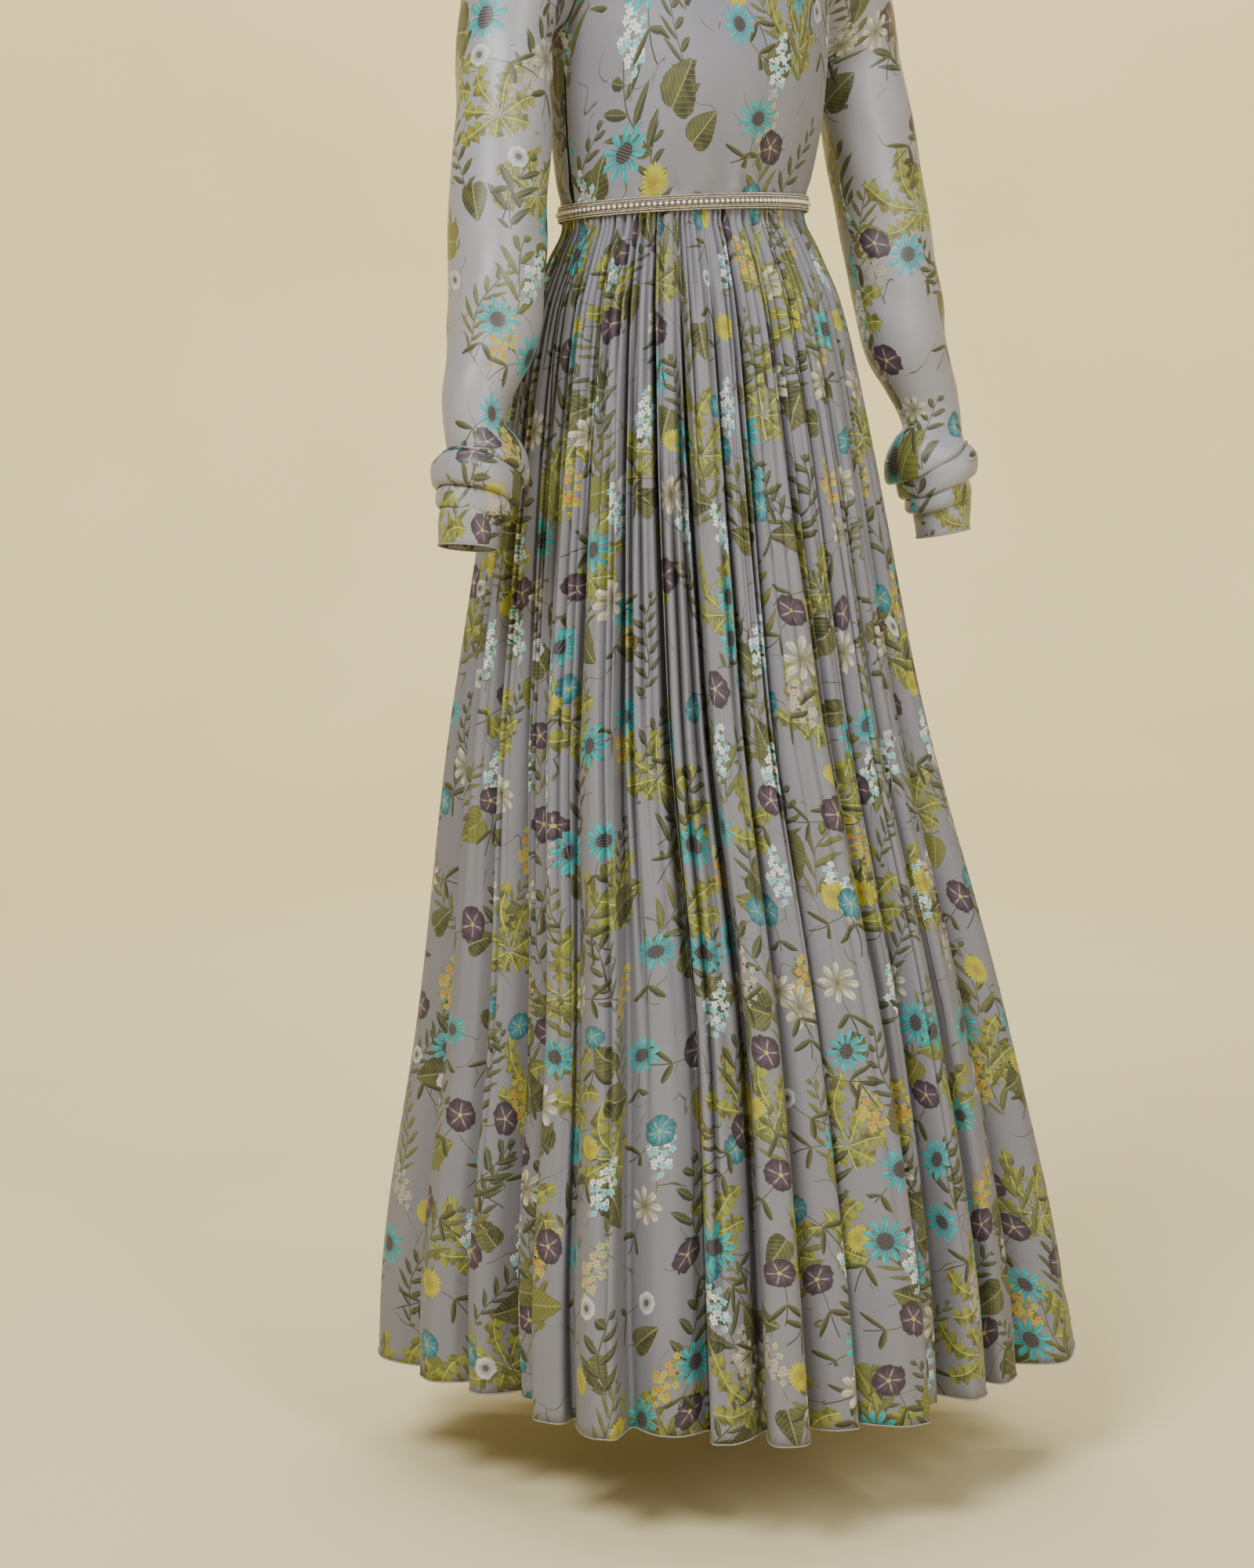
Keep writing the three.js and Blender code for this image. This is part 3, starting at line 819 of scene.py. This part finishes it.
def draw_leaf(place, grain, mottle, length, width, kind):
    """A leaf along x: its half width is width x sin(pi t^0.7), swept back so that the base is
    notched, with a pale midrib and pale side veins."""
    x, y, _ = parts(place)
    side = abs(y)
    swept = x + side * 0.42 - y * y * 0.006
    t = smaller(larger(swept / length + 0.5, 0), 1)
    inside = width * sine(t**0.68 * math.pi) ** 0.72 * (0.88 + 0.24 * grain) - side
    vein_phase = ((x - side * 0.75) / 4.6) % 1
    body = painted(
        OLIVE_DARK,
        (rise(mottle, 0.3, 0.7), OLIVE),
        (rise(y, -3, 3) * 0.3, OLIVE_PALE),
        (rise(kind, 0.7, 0.75) * 0.55, LIME),
        ((1 - vein_phase) * 0.45, OLIVE_DARK),
        (fall(abs(vein_phase - 0.5), 0, 0.11) * 0.6, OLIVE_PALE),
        (fall(side, 0.25, 0.8) * 0.7, LEAF_RIB),
        (fall(inside, 0.2, 1.4) * 0.6, LEAF_EDGE),
    )
    return body, rise(inside, 0, 0.7) * rise(t, 0, 0.03)


def draw_rosette(place, grain, mottle):
    """A clump of eight toothed leaves round one root, long above and short below. Each leaf's
    half width is a sine of its length cut by backward teeth."""
    x, y, _ = parts(place)
    far = vector_of("LENGTH", place)
    angle = sum_of("ARCTAN2", x, y) + 0.16 * sine(far * 0.07)
    step = 2 * math.pi / 8
    number = sum_of("ROUND", angle / step)
    off = angle - number * step
    across = far * sine(off)
    side = abs(across)
    length = 42 + 25 * cosine(number * step) + 6 * sine(number * 5)
    t = smaller(far * cosine(off) / length, 1)
    tooth = (t * 5.2 + side * 0.07) % 1
    half = 12 * sine(t**1.5 * math.pi) ** 0.7 * (0.36 + 0.64 * tooth**0.8)
    inside = half * (0.8 + 0.4 * grain) - side
    body = painted(
        OLIVE,
        (rise(mottle, 0.3, 0.7), LIME),
        (rise(across, -2, 3) * 0.5, (0.27, 0.28, 0.045)),
        (fall(tooth, 0, 0.4) * 0.6, OLIVE_DARK),
        (fall(side, 0.3, 0.8) * 0.7, (0.44, 0.46, 0.2)),
        (fall(inside, 0.1, 1.2) * 0.6, (0.03, 0.035, 0.01)),
    )
    return body, rise(inside, 0, 0.6)


def draw_sprig(place, grain, mottle, length, leaflet, pitch, kind):
    """A curved stalk along x with narrow leaflets that lean forward from it, left and right in
    turn, and shorten towards the tip."""
    x, y, _ = parts(place)
    y = y - 6 * sine(x * 0.06 + kind * 9)
    side = abs(y)
    lean = x - side * (0.7 + kind * 0.5) + rise(y, -0.01, 0.01) * pitch * 0.5
    within = (lean / pitch) % 1 - 0.5
    t = smaller(side / (leaflet * (1.05 - (x / length) ** 2 * 3.2)), 1)
    half = 0.25 * sine(larger(t, 0) ** 0.8 * math.pi) ** 0.8
    inside = (half * (0.8 + 0.4 * grain) - abs(within)) * pitch
    reach = rise(length * 0.5 - abs(x), 0, 2)
    body = painted(
        (0.030, 0.037, 0.019),
        (rise(kind, 0.45, 0.5), (0.10, 0.108, 0.022)),
        (rise(mottle, 0.3, 0.7) * 0.5, OLIVE_DARK),
        (fall(abs(within), 0, 0.05) * 0.55, OLIVE_PALE),
        (rise(within, -0.15, 0.25) * 0.3, OLIVE_PALE),
        (fall(inside, 0.1, 1.0) * 0.4, (0.02, 0.024, 0.012)),
    )
    return body, larger(rise(inside, 0, 0.6) * reach, fall(side, 0.35, 0.75) * reach)


def draw_cluster(place, grain, mottle, wide, high, kind):
    """A head of many small five-petalled blossoms: each blossom whose middle lies in an ellipse
    is drawn whole."""
    local, mark = scattered(place, 6.6, (0, 0), 0.85)
    mx, my, _ = parts(vector_of("SUBTRACT", place, local))
    held = fall((mx / wide) ** 2 + (my / high) ** 2, 0.93, 1.0)
    ran = parts(mark)[0]
    x, y, _ = parts(local)
    far = vector_of("LENGTH", local)
    petal = abs(cosine(sum_of("ARCTAN2", y, x) * 2.5 + ran * 6))
    rim = 4.3 * (0.3 + 0.55 * petal**0.7 + 0.3 * grain)
    cover = rise(rim - far, 0, 0.6) * held
    body = painted(
        tones(ran, *COOL),
        (rise(kind, 0.5, 0.501), tones(ran, *WARM)),
        (rise(kind, 0.76, 0.761), tones(ran, *BLUSH)),
        (fall(far, 0.4, 1.3) * 0.7, (0.12, 0.12, 0.06)),
        (fall(rim - far, 0.1, 1.0) * 0.55, (0.05, 0.075, 0.08)),
    )
    px, py, _ = parts(place)
    stalk = fall(abs(px), 0.3, 0.7) * rise(high * 1.2 - abs(py + high * 0.3), 0, 2)
    return blend(cover, (0.11, 0.12, 0.05), body), larger(cover, stalk)


def draw_stems(place, grain, mottle):
    """Thin wandering stems: the edges of large wavy cells, broken here and there."""
    warp = vector_of("SUBTRACT", cloud(place, 38, 1, output="Color"), (0.5, 0.5, 0.5))
    moved = vector_of("ADD", place, scaled(warp, 46))
    edge = cells(moved, 64, feature="DISTANCE_TO_EDGE") * 64
    cover = fall(edge, 0.25, 0.8) * rise(parts(warp)[2], 0.02, 0.05)
    return blend(mottle, OLIVE_DARK, (0.14, 0.14, 0.07)), cover


def draw_print(place, fullness):
    """The whole print: layers of drawings strewn over one another, stems lowest, flowers
    highest. Fullness is the share of the places that are drawn."""
    grain, mottle = cloud(place, 4.5), cloud(place, 9)
    colour, cover = drawn(stems_group, place, grain, mottle)
    # The angle at which a drawing lies, and how far it may swing to either side
    standing, upright, leaning, any_way = (-math.pi / 2, 0.6), (0, 0.5), (0, 1.3), (0, math.pi)
    # drawing, pitch, shift, share of the places, angle and swing, sizes
    for group, pitch, shift, share, (angle, swing), sizes in (
        (sprig_group, 101, (11, 40), 0.9, standing, (96, 16, 14)),
        (leaf_group, 89, (31, 7), 0.45, any_way, (34, 13)),
        (rosette_group, 142, (52, 61), 0.85, upright, ()),
        (sprig_group, 117, (70, 23), 0.85, standing, (74, 23, 20)),
        (leaf_group, 101, (4, 66), 0.5, any_way, (42, 17)),
        (cluster_group, 109, (83, 15), 0.9, upright, (12, 27)),
        (bloom_group, 101, (47, 12), 0.85, leaning, ()),
        (bloom_group, 88, (66, 39), 0.85, leaning, ()),
    ):
        local, mark = scattered(place, pitch, shift)
        ran, kind, there = parts(mark)
        given = {"Vector": local, "Angle": (ran - 0.5) * (2 * swing) + angle}
        local = made(place.tree, "VectorRotate", given, rotation_type="Z_AXIS")
        over, shown = drawn(group, local, grain, mottle, *sizes, kind)
        shown = shown * fall(there - fullness * share, -0.001, 0.001)
        colour = blend(shown, colour, over)
        cover = larger(cover, shown)
    return colour, cover


NOISES = ["Grain", "Mottle"]
stems_group = drawing("stems", NOISES, draw_stems)
sprig_group = drawing("sprig", NOISES + ["Length", "Leaflet", "Pitch", "Kind"], draw_sprig)
leaf_group = drawing("leaf", NOISES + ["Length", "Width", "Kind"], draw_leaf)
rosette_group = drawing("toothed_leaves", NOISES, draw_rosette)
cluster_group = drawing("blossom_head", NOISES + ["Wide", "High", "Kind"], draw_cluster)
bloom_group = drawing("bloom", NOISES + ["Kind"], draw_bloom)
print_group = drawing("garden_print", ["Fullness"], draw_print)


# ---- Materials ----
def toned(colour, share):
    """A colour made darker or paler."""
    return [min(1, c * share) for c in colour]


def shader(name, finish):
    """A new material with its Principled shader, given the numbers of its finish."""
    material = bpy.data.materials.new(name)
    material.use_nodes = True
    skin = material.node_tree.nodes["Principled BSDF"]
    for key, value in finish.items():
        skin.inputs[key].default_value = value
    return material, material.node_tree, skin


def bumped(tree, skin, height, distance):
    """Raises a surface's shading by a height pattern."""
    given = {"Distance": distance, "Strength": 0.6, "Height": height}
    set_input(tree, skin.inputs["Normal"], made(tree, "Bump", given))


def cloth_material(name, ground, fullness, roughness, gloss, crimp):
    """Printed georgette: a grey-lavender ground of crossed crepe threads, slightly uneven in
    tone, with the print on it and a soft sheen. Places are millimetres of the flat cloth."""
    finish = {"Roughness": roughness, "Specular IOR Level": gloss,
              "Sheen Weight": 0.04, "Sheen Roughness": 0.4}
    material, tree, skin = shader(name, finish)
    place = scaled(made(tree, "UVMap", uv_map="cloth"), 1 / MM)
    colour, cover = drawn(print_group, place, fullness)
    u, v, _ = parts(place)
    thread = sine(u * 9.0) * 0.5 + sine(v * 9.0) * 0.5
    crepe = cloud(place, 1.1, 1)
    printed = painted(
        toned(ground, 0.93),
        (cloud(place, 70), toned(ground, 1.07)),
        (crepe * 0.2, toned(ground, 0.72)),
        (cover * 0.96, colour),
    )
    set_input(tree, skin.inputs["Base Color"], printed)
    bumped(tree, skin, thread * 0.3 + crepe, crimp)
    return material


def clouded_material(name, dark, pale, size, finish, detail=2, edges=None, relief=0.0):
    """A surface that varies from a dark to a pale tone in clouds of a size in metres, sharper
    between two edges, with a relief of the same clouds."""
    material, tree, skin = shader(name, finish)
    fog = cloud(made(tree, "TexCoord", output="Object"), size, detail, "3D")
    share = rise(fog, *edges) if edges else fog
    set_input(tree, skin.inputs["Base Color"], blend(share, dark, pale))
    if relief:
        bumped(tree, skin, fog, relief)
    return material


# ---- Building the garment ----
def finish_piece(piece, material, node=None):
    """Gives a piece its material and its place on the garment, and hides the solid it stands for."""
    piece.data.materials.append(material)
    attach(piece, "root")
    if node:
        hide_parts(node)
    return piece


def build_skirt(cloth, edge):
    """The four widths, each with its rolled hem."""
    for index, (name, (first, folds)) in enumerate(WIDTHS.items()):
        offset = (1700 * index + 300, 5200)
        piece, flat, area, hem = skirt_width(name + "_cloth", first, folds, offset)
        finish_piece(piece, cloth, name)
        rolled = finish_piece(tube(name + "_hem", hem[::2] + (0, 0, 0.7), 0.8, 6), edge)


def build_bodice(cloth, edge):
    """The front in one piece and the back in two, with rolled neck edges."""
    across = NECK_STEPS + SHOULDER_STEPS
    panels = []
    for name, facing, columns, offset in (
        ("bodice_front", -1, np.linspace(-across, across, 145), (400, 1200)),
        ("bodice_back_left", 1, np.linspace(0, across, 73), (1200, 1200)),
        ("bodice_back_right", 1, np.linspace(-across, 0, 73), (1900, 1200)),
    ):
        panel = bodice_panel(name + "_cloth", facing, columns, offset)
        panels.append(finish_piece(panel, cloth, name))
    rolled = []
    for name, facing, start in (("front", -1, -NECK_STEPS), ("back", 1, NECK_STEPS)):
        neck = bodice_points(facing, np.linspace(start, -start, 81), [SHOULDER_TIP])[0]
        rolled.append([finish_piece(tube("neck_edge_" + name, neck, 1.1), edge)])
    rows = zip(panels, (0.38, 0.19, 0.19), (0.112, 0.06, 0.06), (*rolled, []))
    for panel, width, area, edges in rows:
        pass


def build_sleeves(cloth, edge):
    """Both sleeves, each with its rolled cuff edge."""
    for name, hand, offset in (("left", 1, (1020, 2200)), ("right", -1, (1200, 2700))):
        piece, points = sleeve_piece(f"sleeve_{name}_cloth", hand, offset)
        finish_piece(piece, cloth, f"sleeve_{name}")
        cuff = tube(f"cuff_edge_{name}", points[0] + (0, 0, 0.6), 1.0, closed=True)
        finish_piece(cuff, edge)


def build_belt(band_cloth, pearl, bead):
    """The belt: a stiff band with gold seed beads along each edge, and a row of pearls down its
    middle between finer beads."""
    half = BELT_HEIGHT / 2
    up = np.array([-half, -half, 0.6 - half, half - 0.6, half, half])
    out = np.array([1.0, 2.2, 2.8, 2.8, 2.2, 1.0])
    points = np.stack([belt_ring(*place, 361) for place in zip(out, up)])
    run = along_rows(points, 1)
    band = shell(grid("waist_band_cloth", points, beside(run, up[:, None])), 0.8)
    finish_piece(band, band_cloth, "waist_band")
    middle = evenly_spaced(belt_ring(4.3, 0), PEARL_PITCH)
    finish_piece(beads("belt_pearls", middle, PEARL_RADIUS, 6, 9), pearl)
    for name, side in (("top", 1), ("bottom", -1)):
        # distance from the edge of the band, bead radius, and how far it stands out
        for k, (inset, size, lift) in enumerate(((0.4, 0.7, 3.1), (2.5, 0.8, 3.5), (4.1, 0.45, 3.2))):
            row = evenly_spaced(belt_ring(lift, side * (half - inset)), 1.95 * size)
            row = row + chance.uniform(-0.1, 0.1, row.shape)
            strung = beads(f"belt_beads_{name}_{k}", row, size, 4, 7)
            finish_piece(strung, bead)


# ---- Room, light and camera ----
def build_room(material):
    """A floor that curves up into a round wall: a profile turned about the middle."""
    flat, curve, top = 4200, 1500, 3200
    bend = np.linspace(0, math.pi / 2, 17)
    r = np.concatenate([[0.5, 1200, 2600], flat + curve * np.sin(bend), [flat + curve + 1]])
    z = np.concatenate([[0, 0, 0], curve * (1 - np.cos(bend)), [top]]) - 1500
    r, z = r[::-1, None], z[::-1, None]
    turn = np.linspace(0, 2 * math.pi, 128, endpoint=False)
    points = beside(r * np.cos(turn), r * np.sin(turn), z)
    room = grid("studio_floor", points, np.zeros((len(r), len(turn) + 1, 2)), closed=True)
    room.data.materials.append(material)


def stand(thing, place, side, up, back):
    """Puts a light or a camera at a place, looking against `back`."""
    bpy.context.collection.objects.link(thing)
    turn = Matrix(beside(side, up, back).tolist())
    thing.matrix_world = Matrix.LocRotScale(place, turn.to_quaternion(), None)


DAYLIGHT = (0.98, 0.985, 1)
# place, target and size in metres, watts, colour
LIGHTS = {
    "key": ((-2.7, -1.5, 1.9), (0, 0, -0.35), (1.3, 1.3), 165, DAYLIGHT),
    "window": ((-0.6, -3.5, 0.9), (0, 0, -0.2), (0.5, 2.6), 72, DAYLIGHT),
    "fill": ((0.9, -3.9, 1.0), (0, 0, -0.6), (2.4, 2.4), 30, (0.97, 0.98, 1)),
    "top": ((0.2, 0.3, 2.9), (0, 0, -0.5), (3, 3), 55, DAYLIGHT),
    "wall": ((1.2, 1.7, 2.9), (3.6, 4.9, -0.6), (3.4, 1.6), 225, (1, 0.95, 0.82)),
}


def build_light():
    """Square soft lights, the key from the camera's left, under a pale sky."""
    for name, (place, target, size, power, colour) in LIGHTS.items():
        data = bpy.data.lights.new(name, "AREA")
        data.shape, data.energy, data.color = "RECTANGLE", power, colour
        data.size, data.size_y = size
        back = unit(np.subtract(place, target))
        side = unit(np.cross((0, 0, 1), back))
        stand(bpy.data.objects.new(name, data), place, side, np.cross(back, side), back)
    world = bpy.data.worlds.new("sky")
    bpy.context.scene.world = world
    world.use_nodes = True
    sky = world.node_tree.nodes["Background"]
    sky.inputs["Color"].default_value = (0.9, 0.88, 0.84, 1)
    sky.inputs["Strength"].default_value = 0.16


def build_camera():
    """The camera in front and to the wearer's right, a long lens a little above the waist."""
    heading, pitch = math.radians(-36) + math.atan(72 / 4330), math.radians(6.59)
    side = np.array([math.cos(heading), math.sin(heading), 0])
    level = np.array([-math.sin(heading), math.cos(heading), 0])
    look = level * math.cos(pitch) - np.array([0, 0, math.sin(pitch)])
    data = bpy.data.cameras.new("camera")
    data.lens, data.clip_end = 77.94, 60
    camera = bpy.data.objects.new("camera", data)
    stand(camera, (-1.8421, -2.5355, -0.5), side, np.cross(side, look), -look)
    bpy.context.scene.camera = camera


def plain_material(name, colour, roughness, size=0.2, relief=0.0):
    """A matt surface with slight clouding of its colour."""
    tints = toned(colour, 0.94), toned(colour, 1.06)
    return clouded_material(name, *tints, size, {"Roughness": roughness}, relief=relief)


BEAD = (0.60, 0.53, 0.41)
room_paint = plain_material("studio_paint", (0.80, 0.695, 0.405), 0.9, 0.6)
# ground colour, fullness of the print, roughness, gloss, depth of the crimp in metres
# The skirt's ground, darker than the bodice's of the same cloth, is painted shade.
skirt_cloth = cloth_material("skirt_georgette", (0.184, 0.182, 0.204), 1.0, 0.6, 0.35, 0.0004)
bodice_cloth = cloth_material("bodice_georgette", (0.206, 0.206, 0.239), 0.7, 0.55, 0.35, 0.0003)
# The sleeves' ground, paler than the bodice's of the same cloth, is partly the pale arm under a
# single layer and partly a painted highlight.
sleeve_cloth = cloth_material("sleeve_georgette", (0.262, 0.26, 0.283), 0.95, 0.38, 0.55, 0.00008)
edge = plain_material("rolled_edge", (0.24, 0.226, 0.215), 0.8)
# The belt cloth's dark brown is partly its own colour and partly painted shade in the gaps between
# the beads and pearls.
belt_cloth = plain_material("belt_cloth", (0.105, 0.09, 0.07), 0.7, 0.004, 0.0004)
pearl = clouded_material("pearl", (0.66, 0.60, 0.52), (0.80, 0.73, 0.66), 1 / 260,
                         {"Roughness": 0.28, "Coat Weight": 0.6, "Coat Roughness": 0.1})
bead = clouded_material("champagne_bead", toned(BEAD, 0.62), toned(BEAD, 1.3), 1 / 620,
                        {"Roughness": 0.3, "Metallic": 0.6}, 1, (0.35, 0.65), 0.0006)

build_skirt(skirt_cloth, edge)
build_bodice(bodice_cloth, edge)
build_sleeves(sleeve_cloth, edge)
build_belt(belt_cloth, pearl, bead)
build_room(room_paint)
build_light()
build_camera()
